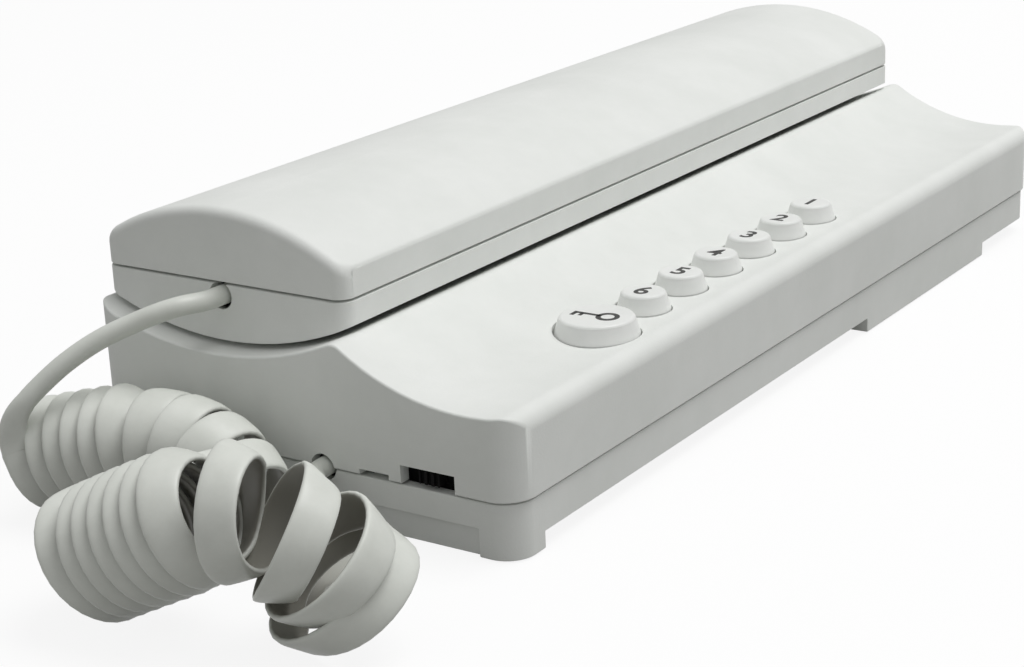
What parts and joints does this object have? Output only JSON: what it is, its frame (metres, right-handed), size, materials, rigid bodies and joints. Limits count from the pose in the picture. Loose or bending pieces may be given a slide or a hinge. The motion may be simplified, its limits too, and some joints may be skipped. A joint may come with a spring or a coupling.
{
  "type": "audio intercom handset",
  "caption": "Wall intercom telephone: a long base with a scooped deck of push buttons beside a cradle, a straight handset lying in the cradle, and a curly cord from handset to base.",
  "frame": {"origin": "middle of the base on the plane of its wall pads, the unit lying on its back", "axes": "+X across the base from the cradle side to the button deck, +Y along the base from the cord end to the far end (up on the wall), +Z out of the wall, away from the pads"},
  "size_m": [0.0958, 0.2743, 0.0502],
  "materials": {
    "shell": "fine-textured matt light grey-white moulding",
    "button": "smooth satin white moulding with dark grey printed marks",
    "cord": "satin light grey-white flexible PVC",
    "black": "matt black moulding",
    "rubber": "matt black rubber",
    "board": "green lacquered circuit board",
    "terminal": "blue terminal moulding",
    "steel": "zinc-plated steel",
    "capsule": "plain metal capsule"
  },
  "bodies": {
    "base": {"back_plate": "shell", "front_cover": "shell", "circuit_board": "board", "board_screws": "steel", "terminal_block": "terminal", "terminal_screws": "steel", "call_buzzer": "black", "key_switches": "black", "volume_switch": "black", "hook_spring": "steel", "hook_switch": "black", "base_cord_clamp": "rubber", "cord_lead": "cord", "cord_coil": "cord", "cord_tail": "cord"},
    "handset": {"handset_lower_shell": "shell", "handset_upper_shell": "shell", "handset_screws": "steel", "earpiece_gasket": "rubber", "earpiece": "capsule", "microphone_boot": "rubber", "microphone": "capsule", "handset_cord_clamp": "rubber"},
    "hook": {"hook_plunger": "button"},
    "door_key": {"door_button": "button"},
    "number_key_1": {"number_button_1": "button"},
    "number_key_2": {"number_button_2": "button"},
    "number_key_3": {"number_button_3": "button"},
    "number_key_4": {"number_button_4": "button"},
    "number_key_5": {"number_button_5": "button"},
    "number_key_6": {"number_button_6": "button"},
    "volume_knob": {"volume_slider": "black"}
  },
  "joints": [
    {"name": "handset_lift", "type": "slide", "parent": "base", "child": "handset", "axis": [0, 0, 1], "range_m": [0, 0.06], "deforming": ["cord_lead"]},
    {"name": "hook_rise", "type": "slide", "parent": "base", "child": "hook", "axis": [0, 0, 1], "range_m": [0, 0.0035], "deforming": ["hook_spring"]},
    {"name": "door_press", "type": "slide", "parent": "base", "child": "door_key", "axis": [0, 0, -1], "range_m": [0, 0.0012], "stiffness_N_per_m": 800},
    {"name": "number_press_1", "type": "slide", "parent": "base", "child": "number_key_1", "axis": [0, 0, -1], "range_m": [0, 0.0012], "stiffness_N_per_m": 800},
    {"name": "number_press_2", "type": "slide", "parent": "base", "child": "number_key_2", "axis": [0, 0, -1], "range_m": [0, 0.0012], "stiffness_N_per_m": 800},
    {"name": "number_press_3", "type": "slide", "parent": "base", "child": "number_key_3", "axis": [0, 0, -1], "range_m": [0, 0.0012], "stiffness_N_per_m": 800},
    {"name": "number_press_4", "type": "slide", "parent": "base", "child": "number_key_4", "axis": [0, 0, -1], "range_m": [0, 0.0012], "stiffness_N_per_m": 800},
    {"name": "number_press_5", "type": "slide", "parent": "base", "child": "number_key_5", "axis": [0, 0, -1], "range_m": [0, 0.0012], "stiffness_N_per_m": 800},
    {"name": "number_press_6", "type": "slide", "parent": "base", "child": "number_key_6", "axis": [0, 0, -1], "range_m": [0, 0.0012], "stiffness_N_per_m": 800},
    {"name": "volume_slide", "type": "slide", "parent": "base", "child": "volume_knob", "axis": [1, 0, 0], "range_m": [-0.003, 0.003]}
  ],
  "couplings": [
    {"joint": "hook_rise", "follows": "handset_lift", "ratio": 0.055}
  ]
}
